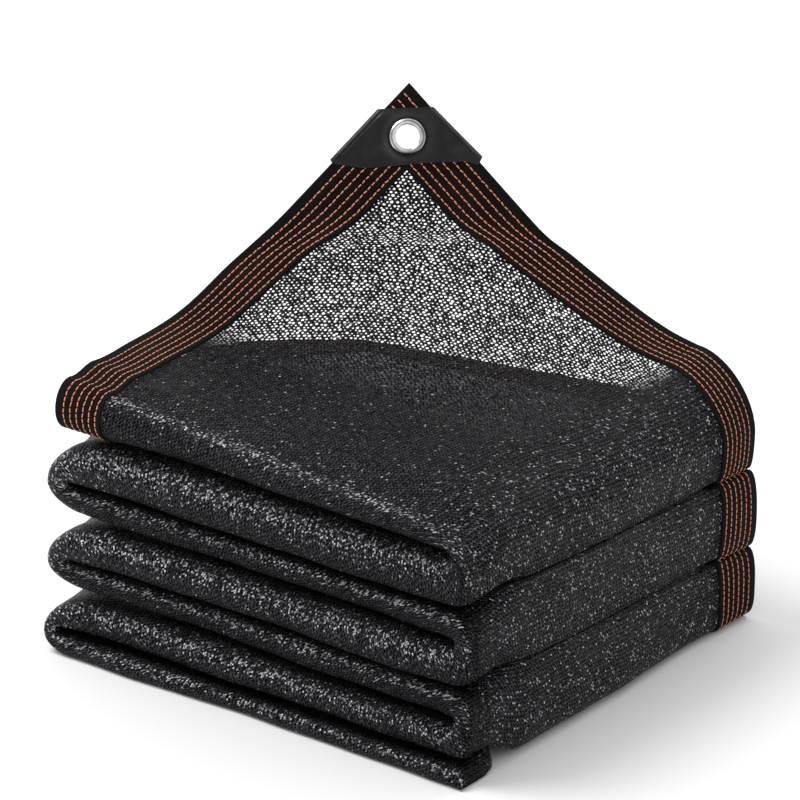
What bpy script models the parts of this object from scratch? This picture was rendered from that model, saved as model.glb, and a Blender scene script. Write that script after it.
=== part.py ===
"""Shade cloth: a bound, knitted shade net folded into a square stack, with one corner raised to show its eyelet.

The strip is doubled along its length, so that each layer is a flattened sleeve: leaf A and leaf B, joined by a
rounded fold along the front (-Y) and open along the back (+Y). The sleeve then goes back and forth in seven passes,
turning at the right (+X), left (-X), right and so on down to the floor. Leaf A lies outside at the right-hand turns
and leaf B outside at the left-hand ones. The back left corner of the top leaf stands up in a peak.

Row frame: X along the folded front, Y into the depth, Z up, origin on the floor under the middle of the stack.
Lengths in the tables are millimetres.
"""

import math

import bmesh
import bpy
from mathutils import Matrix, Vector

MM = 0.001

# Moves the middle of the object's box onto the origin.
SHIFT = Vector((6.95, -0.25, 0.0))

CLOTH_THICKNESS = 1.5
TAPE_THICKNESS = 1.0
CLEARANCE = 0.35
PATCH_WALL = 1.0
FRONT_Y = -175.0
BACK_Y = 175.0
DEPTH = BACK_Y - FRONT_Y
LEFT_END_X = -177.0
RAISED_TO_X = 125.0
RIGHT_LEVEL_X = 125.0
DROOP_TO = 2.4
GAP_FRONT = 2.2
GAP_BACK = 7.2
EYELET_HOLE_R = 8.7
EYELET_BARREL_R = 9.5
EYELET_FLANGE_R = 13.0
EYELET_CUT_R = 9.9
EYELET_DOWN = 37.9

# Height of the meeting line above each pass at the four corners of the stack, and how far its front is set back.
# pass, front left, front right, back right, back left, set-back
LEVELS = (
    ("cover", 203.0, 195.0, 197.5, 150.0, 2.0),
    ("second", 177.0, 175.0, 151.0, 129.0, 0.0),
    ("third", 131.5, 131.5, 114.0, 97.0, 6.0),
    ("fourth", 112.0, 108.5, 90.0, 81.0, 0.5),
    ("fifth", 74.0, 73.5, 55.0, 55.0, 6.5),
    ("sixth", 53.0, 50.5, 36.0, 40.0, 0.0),
    ("last", 17.5, 18.5, 12.5, 14.0, 5.0),
    ("floor", 0.0, 0.0, 0.0, 0.0, 0.0),
)

# Crown of the stack along its left side, as a factor on the straight line from front to back.
# share of the depth, factor
LEFT_CROWN = (
    (0.00, 1.00),
    (0.15, 1.08),
    (0.30, 1.16),
    (0.47, 1.17),
    (0.60, 1.15),
    (0.75, 1.10),
    (0.90, 1.04),
    (1.00, 1.00),
)

# The turns. nose: the outermost point of the outer leaf; share: its height between the bottom (0) and top (1) of
# the turn; starts: where the outer leaf leaves the straight; crevice: where the inner leaf turns; power: 2 is an
# ellipse, more is squarer. Each at the front, then at the back.
# turn, side, nose, share front, share back, upper start front, upper start back, lower start, crevice, power up, power down
TURNS = (
    ("right_1", 1, 178.0, 0.40, 0.30, 108.0, 125.0, 150.0, 163.0, 1.75, 3.0),
    ("left_1", -1, -187.5, 0.33, 0.40, -132.0, -150.0, -166.0, -175.0, 2.0, 2.0),
    ("right_2", 1, 179.0, 0.52, 0.56, 152.0, 152.0, 152.0, 165.0, 2.6, 2.8),
    ("left_2", -1, -189.0, 0.34, 0.42, -136.0, -150.0, -160.0, -177.5, 2.0, 2.2),
    ("right_3", 1, 179.0, 0.50, 0.55, 150.0, 152.0, 164.0, 164.0, 2.6, 2.4),
    ("left_3", -1, -193.0, 0.36, 0.40, -148.0, -152.0, -168.0, -183.0, 2.0, 2.4),
)

# The raised corner of the top leaf: its left edge from the fold to the peak, and its back edge from the peak to
# where it lies down again.
# share of the edge, x, y, z
LEFT_EDGE = (
    (0.057, -177.0, -154.5, 210.0),
    (0.138, -177.0, -125.0, 212.5),
    (0.223, -177.0, -93.5, 213.5),
    (0.292, -177.0, -68.0, 213.5),
    (0.364, -176.0, -42.5, 218.0),
    (0.421, -167.0, -29.0, 230.0),
    (0.510, -153.0, -9.0, 252.0),
    (0.693, -124.0, 32.0, 297.0),
    (0.785, -109.3, 52.9, 319.4),
    (1.000, -78.5, 102.3, 373.0),
)
BACK_EDGE = (
    (0.000, -78.5, 102.3, 373.0),
    (0.280, -23.7, 116.7, 318.0),
    (0.377, -4.6, 122.1, 299.1),
    (0.472, 13.7, 127.3, 280.4),
    (0.585, 37.2, 136.3, 261.0),
    (0.808, 84.8, 156.1, 224.7),
    (0.913, 107.0, 166.1, 208.6),
    (1.000, 125.0, 175.0, 196.7),
)
PEAK = Vector((-78.5, 102.3, 373.0))
PEAK_LEFT = Vector((-0.389, -0.6245, -0.6776)).normalized()
PEAK_RIGHT = Vector((0.6945, 0.1825, -0.697)).normalized()
FLAT_REACH = 122.0
FLAT_FADE = 60.0

# Rows across the sheet: shares of the depth on leaf A from the open edge to the fold, angles round the fold, then
# shares on leaf B back to its open edge.
ROWS_A = (1.0, 0.88, 0.774, 0.68, 0.57, 0.47, 0.41, 0.35, 0.25, 0.12)
ROWS_FOLD = (0.0, 30.0, 60.0, 90.0, 120.0, 150.0, 180.0)
ROWS_B = (0.14, 0.45, 0.78, 0.88, 1.0)

# Stations along a pass between its turns, as shares of the pass.
COVER_STATIONS = (0.0, 0.139, 0.2616, 0.371, 0.48, 0.60, 0.72, 0.86, 1.0)
PASS_STATIONS = (0.33, 0.67)
SIXTH_STATIONS = (0.05, 0.36, 0.68)
LAST_STATIONS = (0.33, 0.66, 0.90)
LAST_END_FRONT = 172.0
LAST_END_BACK = 141.0
LAST_END_STEPS = (0.0, 0.4, 0.75, 1.0)
LAST_END_REACH = 14.0
LAST_END_OPEN = 2.6

STATIONS_AFTER = (PASS_STATIONS, PASS_STATIONS, PASS_STATIONS, PASS_STATIONS, SIXTH_STATIONS, LAST_STATIONS)


def smooth(value):
    value = min(1.0, max(0.0, value))
    return value * value * (3 - 2 * value)


def through(rows, share):
    """Smooth curve through the rows of a table, whose first column is the share along it."""
    keys = [row[0] for row in rows]
    values = [Vector(row[1:]) if len(row) > 2 else row[1] for row in rows]
    share = min(keys[-1], max(keys[0], share))
    i = max(j for j in range(len(keys) - 1) if keys[j] <= share)
    slopes = []
    for j in (i, i + 1):
        lo, hi = max(0, j - 1), min(len(keys) - 1, j + 1)
        slopes.append((values[hi] - values[lo]) * (1 / (keys[hi] - keys[lo])))
    step = keys[i + 1] - keys[i]
    u = (share - keys[i]) / step
    return (
        values[i] * (2 * u**3 - 3 * u**2 + 1)
        + slopes[0] * (step * (u**3 - 2 * u**2 + u))
        + values[i + 1] * (3 * u**2 - 2 * u**3)
        + slopes[1] * (step * (u**3 - u**2))
    )


def level(line, side, depth):
    """Height of a meeting line at its left (side 0) or right (side 1) end, at a share of the depth."""
    _, front_left, front_right, back_right, back_left, _ = LEVELS[line]
    if side:
        return front_right + (back_right - front_right) * depth
    crown = through(LEFT_CROWN, depth) if 0 < line < 7 else 1.0
    return (front_left + (back_left - front_left) * depth) * crown


def gap(depth):
    return GAP_FRONT + (GAP_BACK - GAP_FRONT) * smooth((depth - 0.45) / 0.35)


def surface(line, x, depth, below):
    """Middle of the leaf just above (below=False) or just under (below=True) a meeting line, at x."""
    place = min(1.0, max(0.0, (x - LEFT_END_X) / (RIGHT_LEVEL_X - LEFT_END_X)))
    left = level(line, 0, depth)
    height = left + (level(line, 1, depth) - left) * place
    if line == 0:
        return height - CLOTH_THICKNESS / 2
    if line == 7:
        lift = (CLEARANCE + TAPE_THICKNESS) * smooth((depth - 0.80) / 0.07)
        return CLOTH_THICKNESS / 2 + lift
    half = (gap(depth) + CLOTH_THICKNESS) / 2
    return height - half if below else height + half


def quarter(share, power):
    """Point of a unit superellipse quarter, from (0, 1) at share 0 to (1, 0) at share 1."""
    angle = share * math.pi / 2
    return math.sin(angle) ** (2 / power), math.cos(angle) ** (2 / power)


TURN_STEPS = 8
INNER_PATH = ((0.0, 0), (0.62, 0), (1.0, 0), (1.0, 45), (1.0, 90), (1.0, 135), (1.0, 180), (0.62, 180), (0.0, 180))


def turn_points(index, depth, step):
    """Outer and inner leaf points (x, z) of a turn at one of its steps."""
    _, side, nose, share_f, share_b, up_f, up_b, down, crevice, power_up, power_down = TURNS[index]
    up = up_f + (up_b - up_f) * depth
    top = surface(index, up, depth, True)
    bottom = surface(index + 2, down, depth, False)
    if index == 4:
        bottom += (DROOP_TO - bottom) * smooth((depth - 0.25) / 0.6)
    nose_x = nose - side * CLOTH_THICKNESS / 2
    nose_z = bottom + (top - bottom) * (share_f + (share_b - share_f) * depth)
    half = TURN_STEPS // 2
    if step <= half:
        across, height = quarter(step / half, power_up)
        outer = (up + (nose_x - up) * across, nose_z + (top - nose_z) * height)
    else:
        across, height = quarter((TURN_STEPS - step) / half, power_down)
        outer = (down + (nose_x - down) * across, nose_z + (bottom - nose_z) * height)
    radius = (gap(depth) + CLOTH_THICKNESS) / 2
    run, angle = INNER_PATH[step]
    root = crevice - side * radius
    start = side * min(side * (up if step <= half else down), side * root - 8)
    x = start + (root - start) * run
    middle = surface(index + 1, x, depth, False) - radius
    inner = (x + side * radius * math.sin(math.radians(angle)), middle + radius * math.cos(math.radians(angle)))
    return outer, inner


def leaves_at(depth):
    """Leaf A and leaf B as lists of (x, z) at every station, for one share of the depth."""
    leaf_a, leaf_b = [], []

    def straight(line, share, left_x, right_x):
        x = left_x + (right_x - left_x) * share
        return (x, surface(line, x, depth, True)), (x, surface(line + 1, x, depth, False))

    def turn_start(index, lower):
        _, _, _, _, _, up_f, up_b, down, _, _, _ = TURNS[index]
        return down if lower else up_f + (up_b - up_f) * depth

    for share in COVER_STATIONS[:-1]:
        upper, lower = straight(0, share, LEFT_END_X, turn_start(0, False))
        leaf_a.append(upper)
        leaf_b.append(lower)
    for index in range(6):
        outer_is_a = index % 2 == 0
        for step in range(TURN_STEPS + 1):
            outer, inner = turn_points(index, depth, step)
            leaf_a.append(outer if outer_is_a else inner)
            leaf_b.append(inner if outer_is_a else outer)
        line = index + 1
        begin = turn_start(index, True)
        if line < 6:
            finish = run_to = turn_start(index + 1, False)
        else:
            finish = LAST_END_FRONT + (LAST_END_BACK - LAST_END_FRONT) * smooth((depth - 0.05) / 0.4)
            run_to = finish - LAST_END_REACH
        for share in STATIONS_AFTER[index]:
            upper, lower = straight(line, share, begin, run_to)
            leaf_a.append(upper if line % 2 == 0 else lower)
            leaf_b.append(lower if line % 2 == 0 else upper)
    top = surface(6, finish - LAST_END_REACH, depth, True)
    bottom = surface(7, finish, depth, False)
    for step in LAST_END_STEPS:
        across, height = quarter(step, 2.4)
        x = finish - LAST_END_REACH * (1 - across)
        low = bottom + LAST_END_OPEN
        leaf_a.append((x, low + (top - low) * height))
        leaf_b.append((x - 1.5, surface(7, x, depth, False)))
    return leaf_a, leaf_b


def setbacks():
    """How far the folded front of each station is set back."""
    values = [LEVELS[0][5]] * (len(COVER_STATIONS) - 1)
    for index in range(6):
        here, after = LEVELS[index][5], LEVELS[index + 1][5]
        values += [here + (after - here) * smooth(step / TURN_STEPS) for step in range(TURN_STEPS + 1)]
        values += [after] * len(STATIONS_AFTER[index])
    return values + [LEVELS[6][5]] * len(LAST_END_STEPS)


def raised(point, along, depth):
    """Moves a point of the top leaf towards the raised corner."""
    if along >= 1 or depth <= LEFT_EDGE[0][0]:
        return point
    reach = RAISED_TO_X - LEFT_END_X
    flat = lambda a, d: Vector(
        (LEFT_END_X + reach * a, FRONT_Y + DEPTH * d, surface(0, LEFT_END_X + reach * a, d, True))
    )
    side_pull = through(LEFT_EDGE, depth) - flat(0, depth)
    back_pull = through(BACK_EDGE, along) - flat(along, 1)
    corner = PEAK - flat(0, 1)
    across = 1 - along
    back = smooth((depth - LEFT_EDGE[0][0]) / (1 - LEFT_EDGE[0][0])) * 0.5 + 0.5 * depth * depth
    lifted = point + side_pull * across + back_pull * back - corner * (across * back)
    from_back = (1 - depth) * DEPTH
    from_left = along * (RAISED_TO_X - LEFT_END_X)
    plane = PEAK + PEAK_LEFT * from_back + PEAK_RIGHT * from_left
    weight = 1 - smooth((from_back + from_left - FLAT_REACH) / FLAT_FADE)
    return lifted + (plane - lifted) * weight


def sheet_grid():
    """The sheet's middle surface: one row of points for each row across the sheet."""
    set_back = setbacks()
    grid = []
    for depth in ROWS_A:
        leaf_a, _ = leaves_at(depth)
        row = [Vector((x, FRONT_Y + DEPTH * depth, z)) for x, z in leaf_a]
        for i in range(len(COVER_STATIONS)):
            along = min(1.0, (row[i].x - LEFT_END_X) / (RAISED_TO_X - LEFT_END_X)) if i < len(COVER_STATIONS) - 1 else 1.0
            row[i] = raised(row[i], along, depth)
        grid.append(row)
    leaf_a, leaf_b = leaves_at(0.0)
    for angle in ROWS_FOLD:
        bow = math.sin(math.radians(angle)) ** 0.9
        lean = math.copysign(abs(math.cos(math.radians(angle))) ** 0.85, 90 - angle)
        row = []
        for i, ((ax, az), (bx, bz)) in enumerate(zip(leaf_a, leaf_b)):
            width = math.hypot(ax - bx, az - bz)
            reach = min(width / 2, 17.0) * 0.95 + 1.5
            row.append(
                Vector(
                    (
                        (ax + bx) / 2 + (ax - bx) / 2 * lean,
                        FRONT_Y + set_back[i] + CLOTH_THICKNESS / 2 + reach * (1 - bow),
                        (az + bz) / 2 + (az - bz) / 2 * lean,
                    )
                )
            )
        grid.append(row)
    for depth in ROWS_B:
        _, leaf_b = leaves_at(depth)
        grid.append([Vector((x, FRONT_Y + DEPTH * depth, z)) for x, z in leaf_b])
    return grid


def grid_normals(grid):
    """Unit normals of the grid, pointing out of the folded sleeve."""
    normals = []
    for r, row in enumerate(grid):
        line = []
        for c in range(len(row)):
            along = row[min(c + 1, len(row) - 1)] - row[max(c - 1, 0)]
            across = grid[min(r + 1, len(grid) - 1)][c] - grid[max(r - 1, 0)][c]
            line.append(across.cross(along).normalized())
        normals.append(line)
    return normals


def slab(name, grid, normals, rows, columns, inside, outside, collection, material):
    """Closed solid between two offsets of part of the grid."""
    mesh = bmesh.new()
    levels = []
    for offset in (inside, outside):
        levels.append(
            [[mesh.verts.new((grid[r][c] + normals[r][c] * offset + SHIFT) * MM) for c in columns] for r in rows]
        )
    low, high = levels
    count_r, count_c = len(rows), len(columns)
    for r in range(count_r - 1):
        for c in range(count_c - 1):
            mesh.faces.new((high[r][c], high[r + 1][c], high[r + 1][c + 1], high[r][c + 1]))
            mesh.faces.new((low[r][c], low[r][c + 1], low[r + 1][c + 1], low[r + 1][c]))
    for r in range(count_r - 1):
        mesh.faces.new((low[r][0], low[r + 1][0], high[r + 1][0], high[r][0]))
        mesh.faces.new((high[r][-1], high[r + 1][-1], low[r + 1][-1], low[r][-1]))
    for c in range(count_c - 1):
        mesh.faces.new((high[0][c], high[0][c + 1], low[0][c + 1], low[0][c]))
        mesh.faces.new((low[-1][c], low[-1][c + 1], high[-1][c + 1], high[-1][c]))
    bmesh.ops.recalc_face_normals(mesh, faces=mesh.faces)
    bmesh.ops.triangulate(mesh, faces=mesh.faces, quad_method="SHORT_EDGE")
    return add_object(name, mesh, collection, material)


def add_object(name, mesh, collection, material=None):
    data = bpy.data.meshes.new(name)
    mesh.to_mesh(data)
    mesh.free()
    data.shade_smooth()
    data.set_sharp_from_angle(angle=math.radians(40))
    made = bpy.data.objects.new(name, data)
    if material:
        data.materials.append(material)
    collection.objects.link(made)
    return made


def principled(name, colour, roughness, metallic=0.0):
    material = bpy.data.materials.new(name)
    material.use_nodes = True
    shader = material.node_tree.nodes["Principled BSDF"]
    shader.inputs["Base Color"].default_value = (*colour, 1.0)
    shader.inputs["Roughness"].default_value = roughness
    shader.inputs["Metallic"].default_value = metallic
    material.diffuse_color = (*colour, 1.0)
    return material


def prism(name, outline, low, high, frame, collection, material=None):
    """Extruded outline, given as (across, down) from the peak, between two heights off the cloth's middle."""
    curve = bpy.data.curves.new(name, "CURVE")
    curve.dimensions = "2D"
    curve.fill_mode = "BOTH"
    curve.extrude = (high - low) / 2 * MM
    spline = curve.splines.new("POLY")
    spline.points.add(len(outline) - 1)
    for point, (across, down) in zip(spline.points, outline):
        point.co = (across * MM, -down * MM, 0, 1)
    spline.use_cyclic_u = True
    guide = bpy.data.objects.new(name + "_outline", curve)
    collection.objects.link(guide)
    guide.matrix_world = frame @ Matrix.Translation((0, 0, (low + high) / 2 * MM))
    bpy.context.view_layer.update()
    graph = bpy.context.evaluated_depsgraph_get()
    data = bpy.data.meshes.new_from_object(guide.evaluated_get(graph))
    data.name = name
    mesh = bmesh.new()
    mesh.from_mesh(data)
    bmesh.ops.remove_doubles(mesh, verts=mesh.verts, dist=0.00001)
    bmesh.ops.recalc_face_normals(mesh, faces=mesh.faces)
    mesh.to_mesh(data)
    mesh.free()
    made = bpy.data.objects.new(name, data)
    made.matrix_world = guide.matrix_world.copy()
    if material:
        data.materials.clear()
        data.materials.append(material)
    collection.objects.link(made)
    bpy.data.objects.remove(guide)
    bpy.data.curves.remove(curve)
    return made


def cut(target, cutter, name):
    modifier = target.modifiers.new(name, "BOOLEAN")
    modifier.operation = "DIFFERENCE"
    modifier.solver = "EXACT"
    modifier.object = cutter


def as_cutter(made):
    made.hide_render = True
    made.display_type = "WIRE"


def main():
    for old in list(bpy.data.objects):
        bpy.data.objects.remove(old)
    scene = bpy.context.scene
    parts = bpy.data.collections.new("shade_cloth")
    cutters = bpy.data.collections.new("cutters")
    scene.collection.children.link(parts)
    scene.collection.children.link(cutters)

    black_knit = principled("knitted_shade_net", (0.022, 0.021, 0.024), 0.55)
    brown_tape = principled("woven_binding", (0.085, 0.050, 0.040), 0.75)
    black_plastic = principled("corner_plastic", (0.020, 0.020, 0.023), 0.35)
    metal = principled("eyelet_metal", (0.72, 0.72, 0.74), 0.25, 1.0)

    grid = sheet_grid()
    normals = grid_normals(grid)
    all_rows = range(len(grid))
    all_columns = range(len(grid[0]))
    half = CLOTH_THICKNESS / 2
    cloth = slab("net_cloth", grid, normals, all_rows, all_columns, -half, half, parts, black_knit)

    under, over = half + CLEARANCE, half + CLEARANCE + TAPE_THICKNESS
    last = len(grid) - 1
    tape_a = slab("side_binding_a", grid, normals, (0, 1), all_columns, under, over, parts, brown_tape)
    slab("side_binding_b", grid, normals, (last - 1, last), all_columns, under, over, parts, brown_tape)

    ends_grid, ends_normals = end_rows(grid, normals)
    slab("end_binding", ends_grid, ends_normals, range(len(ends_grid)), (0, 1), under, over, parts, brown_tape)

    up = -(PEAK_LEFT + PEAK_RIGHT).normalized()
    facing = PEAK_LEFT.cross(PEAK_RIGHT).normalized()
    across = up.cross(facing).normalized()
    frame = Matrix.Translation((PEAK + SHIFT) * MM) @ Matrix((across, up, facing)).transposed().to_4x4()

    low = -half - CLEARANCE - PATCH_WALL
    high = over + CLEARANCE + PATCH_WALL
    outline = (
        (-21.8, 18.6), (18.3, 16.4), (53.6, 51.2), (50.6, 57.6), (42.8, 54.8),
        (12.8, 56.5), (-11.1, 59.0), (-31.1, 60.8), (-53.0, 57.8), (-55.0, 55.0),
    )
    patch = prism("corner_patch", outline, low, high, frame, parts, black_plastic)
    sides = [Vector((edge.dot(across), -edge.dot(up))) for edge in (PEAK_RIGHT, PEAK_LEFT)]
    spread = CLEARANCE / math.sin(PEAK_LEFT.angle(PEAK_RIGHT))
    tip = (sides[0] + sides[1]) * -spread
    pocket_outline = [tip, tip + sides[0] * 110, tip + sides[1] * 110]
    pocket = prism("pocket", pocket_outline, low + PATCH_WALL, high - PATCH_WALL, frame, cutters)
    as_cutter(pocket)
    cut(patch, pocket, "sleeve")

    bore = bmesh.new()
    bmesh.ops.create_cone(
        bore, cap_ends=True, segments=32, radius1=EYELET_CUT_R * MM, radius2=EYELET_CUT_R * MM, depth=0.03
    )
    eyelet_frame = frame @ Matrix.Translation((0, -EYELET_DOWN * MM, 0))
    drill = add_object("eyelet_hole", bore, cutters)
    drill.matrix_world = eyelet_frame
    as_cutter(drill)
    for target in (cloth, tape_a, patch):
        cut(target, drill, "eyelet_hole")
    cutters.hide_render = True

    profile = bmesh.new()
    top, bottom = high + CLEARANCE, low - CLEARANCE
    # radius, height off the cloth's middle, down the outer side and back up the hole
    section = (
        (EYELET_HOLE_R + 0.8, top + 1.5),
        (EYELET_FLANGE_R - 1.2, top + 1.2),
        (EYELET_FLANGE_R, top + 0.5),
        (EYELET_FLANGE_R - 0.2, top),
        (EYELET_BARREL_R, top),
        (EYELET_BARREL_R, bottom),
        (EYELET_FLANGE_R - 0.4, bottom),
        (EYELET_FLANGE_R - 0.2, bottom - 0.5),
        (EYELET_FLANGE_R - 1.4, bottom - 1.0),
        (EYELET_HOLE_R + 0.6, bottom - 1.1),
        (EYELET_HOLE_R, bottom - 0.5),
        (EYELET_HOLE_R, top + 0.8),
    )
    ring = [profile.verts.new((radius * MM, 0, height * MM)) for radius, height in section]
    for i in range(len(ring)):
        profile.edges.new((ring[i], ring[(i + 1) % len(ring)]))
    eyelet = add_object("eyelet_ring", profile, parts, metal)
    eyelet.matrix_world = eyelet_frame
    turn = eyelet.modifiers.new("turn", "SCREW")
    turn.axis = "Z"
    turn.steps = turn.render_steps = 28
    turn.use_merge_vertices = True
    turn.merge_threshold = 0.00001


def end_rows(grid, normals):
    """The grid between the two side bindings, stopping just short of each of them."""
    rows, row_normals = [], []
    first, last = 1, len(grid) - 2

    def between(low, high, share):
        rows.append([a.lerp(b, share) for a, b in zip(grid[low], grid[high])])
        row_normals.append([a.lerp(b, share).normalized() for a, b in zip(normals[low], normals[high])])

    between(first, first + 1, 0.012)
    for r in range(first + 1, last):
        rows.append(grid[r])
        row_normals.append(normals[r])
    between(last, last - 1, 0.012)
    return rows, row_normals


main()
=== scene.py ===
import math

import bmesh
import bpy
import numpy as np
from mathutils import Matrix, Vector
from mathutils.geometry import delaunay_2d_cdt


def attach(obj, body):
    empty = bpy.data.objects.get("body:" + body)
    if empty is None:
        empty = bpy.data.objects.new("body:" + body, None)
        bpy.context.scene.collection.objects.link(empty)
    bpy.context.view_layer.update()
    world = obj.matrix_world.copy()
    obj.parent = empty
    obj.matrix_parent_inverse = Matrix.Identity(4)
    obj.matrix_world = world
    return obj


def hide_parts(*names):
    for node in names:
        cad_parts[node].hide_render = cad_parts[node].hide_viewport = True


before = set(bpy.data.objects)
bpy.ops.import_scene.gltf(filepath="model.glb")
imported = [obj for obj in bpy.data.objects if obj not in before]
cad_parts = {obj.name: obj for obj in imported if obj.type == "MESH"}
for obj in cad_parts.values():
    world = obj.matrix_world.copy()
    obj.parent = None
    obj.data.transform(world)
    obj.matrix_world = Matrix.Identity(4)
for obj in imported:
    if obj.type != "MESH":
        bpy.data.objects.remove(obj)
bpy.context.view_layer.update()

# Lengths in the tables are millimetres, in the same frame as the solids before SHIFT.
MM = 0.001
SHIFT = np.array((6.95, -0.25, 0.0))

CLOTH_THICKNESS = 1.5
FRONT_Y = -175.0
DEPTH = 350.0
LEFT_END_X = -177.0
RAISED_TO_X = 125.0
RIGHT_LEVEL_X = 125.0
DROOP_TO = 2.4
GAP_FRONT = 2.2
GAP_BACK = 7.2
EYELET_HOLE_R = 8.7
EYELET_FLANGE_R = 13.0
EYELET_DOWN = 37.9

# pass, front left, front right, back right, back left, set-back
LEVELS = (
    ("cover", 203.0, 195.0, 197.5, 150.0, 2.0),
    ("second", 177.0, 175.0, 151.0, 129.0, 0.0),
    ("third", 131.5, 131.5, 114.0, 97.0, 6.0),
    ("fourth", 112.0, 108.5, 90.0, 81.0, 0.5),
    ("fifth", 74.0, 73.5, 55.0, 55.0, 6.5),
    ("sixth", 53.0, 50.5, 36.0, 40.0, 0.0),
    ("last", 17.5, 18.5, 12.5, 14.0, -3.0),
    ("floor", 0.0, 0.0, 0.0, 0.0, 0.0),
)

# How far the folded front of each line sags, at its left and right ends.
FRONT_SAG = ((-3.0, 12.5), (7.0, 9.5), (3.0, 8.0), (7.0, 8.0), (3.0, 6.5), (5.0, 8.5), (0.0, 2.7), (0.0, 0.0))
SAG_DEPTH = 0.17
FRONT_SKEW = 5.0

# share of the depth, factor on the height along the left side
LEFT_CROWN = (
    (0.00, 1.00),
    (0.08, 1.00),
    (0.16, 1.03),
    (0.30, 1.13),
    (0.47, 1.17),
    (0.60, 1.15),
    (0.75, 1.10),
    (0.90, 1.04),
    (1.00, 1.00),
)

# turn, side, nose, share front, share back, upper start front, upper start back, lower start, crevice, power up front, power up back, power down
TURNS = (
    ("right_1", 1, 179.0, 0.40, 0.32, 108.0, 125.0, 150.0, 163.0, 1.9, 1.75, 3.8),
    ("left_1", -1, -196.0, 0.33, 0.40, -132.0, -150.0, -166.0, -175.0, 2.0, 2.0, 2.0),
    ("right_2", 1, 180.5, 0.52, 0.56, 152.0, 152.0, 152.0, 165.0, 3.2, 3.8, 3.8),
    ("left_2", -1, -196.5, 0.34, 0.42, -136.0, -150.0, -160.0, -177.5, 2.0, 2.0, 2.2),
    ("right_3", 1, 181.0, 0.50, 0.55, 150.0, 152.0, 164.0, 164.0, 3.2, 3.8, 3.8),
    ("left_3", -1, -197.0, 0.36, 0.40, -148.0, -152.0, -168.0, -183.0, 2.0, 2.0, 2.4),
)

# How the front of each pass is rounded: height of the foremost line below the top, as a share; reach of the rounding
# above and below it.
# pass, share, reach above, reach below
FRONTS = (
    ("cover", 0.55, 14.0, 12.0),
    ("second", 0.60, 25.0, 13.0),
    ("third", 0.45, 10.0, 9.0),
    ("fourth", 0.60, 24.0, 12.0),
    ("fifth", 0.45, 10.0, 9.0),
    ("sixth", 0.60, 22.0, 11.0),
    ("last", 0.55, 9.0, 4.0),
)

# share of the edge, x, y, z
LEFT_EDGE = (
    (0.057, -177.0, -154.5, 212.5),
    (0.138, -177.0, -125.0, 209.0),
    (0.223, -177.0, -93.5, 211.5),
    (0.292, -177.0, -68.0, 213.5),
    (0.364, -176.0, -42.5, 218.0),
    (0.421, -167.0, -29.0, 230.0),
    (0.510, -153.0, -9.0, 252.0),
    (0.693, -124.0, 32.0, 297.0),
    (0.785, -109.3, 52.9, 319.4),
    (1.000, -78.5, 102.3, 373.0),
)
BACK_EDGE = (
    (0.000, -78.5, 102.3, 373.0),
    (0.280, -23.7, 116.7, 318.0),
    (0.377, -4.6, 122.1, 299.1),
    (0.472, 13.7, 127.3, 280.4),
    (0.585, 37.2, 136.3, 259.8),
    (0.808, 84.8, 156.1, 221.6),
    (0.913, 107.0, 166.1, 206.2),
    (1.000, 125.0, 175.0, 196.7),
)
PEAK = np.array((-78.5, 102.3, 373.0))
PEAK_LEFT = np.array((-0.389, -0.6245, -0.6776))
PEAK_LEFT /= np.linalg.norm(PEAK_LEFT)
PEAK_RIGHT = np.array((0.6945, 0.1825, -0.697))
PEAK_RIGHT /= np.linalg.norm(PEAK_RIGHT)
FLAT_REACH = 122.0
FLAT_FADE = 60.0
TAPE_SHARE = 0.12
END_TAPE_SHARE = 0.139
FOLD_JOIN_A = 0.12
FOLD_JOIN_B = 0.14

# Across the binding, from its outer edge: where the six rows of thread run.
THREAD_ROWS = (0.165, 0.315, 0.460, 0.603, 0.746, 0.889)
BINDING_WIDTH = 42.0
STITCH_PITCH = 4.15

# Creases and swellings of the top leaf, as soft ridges (+) and troughs (-).
# share of the cover from, depth from, share to, depth to, height, half width
TOP_CREASES = (
    (0.16, 0.10, 0.62, 0.03, 1.1, 12.0),
    (0.20, 0.19, 0.74, 0.14, -1.2, 15.0),
    (0.14, 0.37, 0.66, 0.27, 1.3, 17.0),
    (0.30, 0.46, 0.88, 0.33, -1.3, 15.0),
    (0.42, 0.58, 0.97, 0.50, 1.2, 16.0),
    (0.60, 0.70, 1.00, 0.64, -1.1, 13.0),
    (0.70, 0.20, 1.02, 0.24, 1.0, 13.0),
    (0.84, 0.80, 1.02, 0.72, 1.0, 12.0),
)


def smooth(value):
    value = min(1.0, max(0.0, value))
    return value * value * (3 - 2 * value)


def smooth_all(value):
    value = np.clip(value, 0, 1)
    return value * value * (3 - 2 * value)


def through(rows, share):
    keys = [row[0] for row in rows]
    values = [np.array(row[1:]) if len(row) > 2 else row[1] for row in rows]
    share = min(keys[-1], max(keys[0], share))
    i = max(j for j in range(len(keys) - 1) if keys[j] <= share)
    slopes = []
    for j in (i, i + 1):
        lo, hi = max(0, j - 1), min(len(keys) - 1, j + 1)
        slopes.append((values[hi] - values[lo]) * (1 / (keys[hi] - keys[lo])))
    step = keys[i + 1] - keys[i]
    u = (share - keys[i]) / step
    return (
        values[i] * (2 * u**3 - 3 * u**2 + 1)
        + slopes[0] * (step * (u**3 - 2 * u**2 + u))
        + values[i + 1] * (3 * u**2 - 2 * u**3)
        + slopes[1] * (step * (u**3 - u**2))
    )


# ---------------------------------------------------------------- the folded sheet's middle surface


def level(line, side, depth, crown):
    _, front_left, front_right, back_right, back_left, _ = LEVELS[line]
    sag = FRONT_SAG[line][side] * (1 - smooth(depth / SAG_DEPTH))
    if side:
        return front_right + (back_right - front_right) * depth - sag
    return (front_left + (back_left - front_left) * depth) * (crown if 0 < line < 7 else 1.0) - sag


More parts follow.
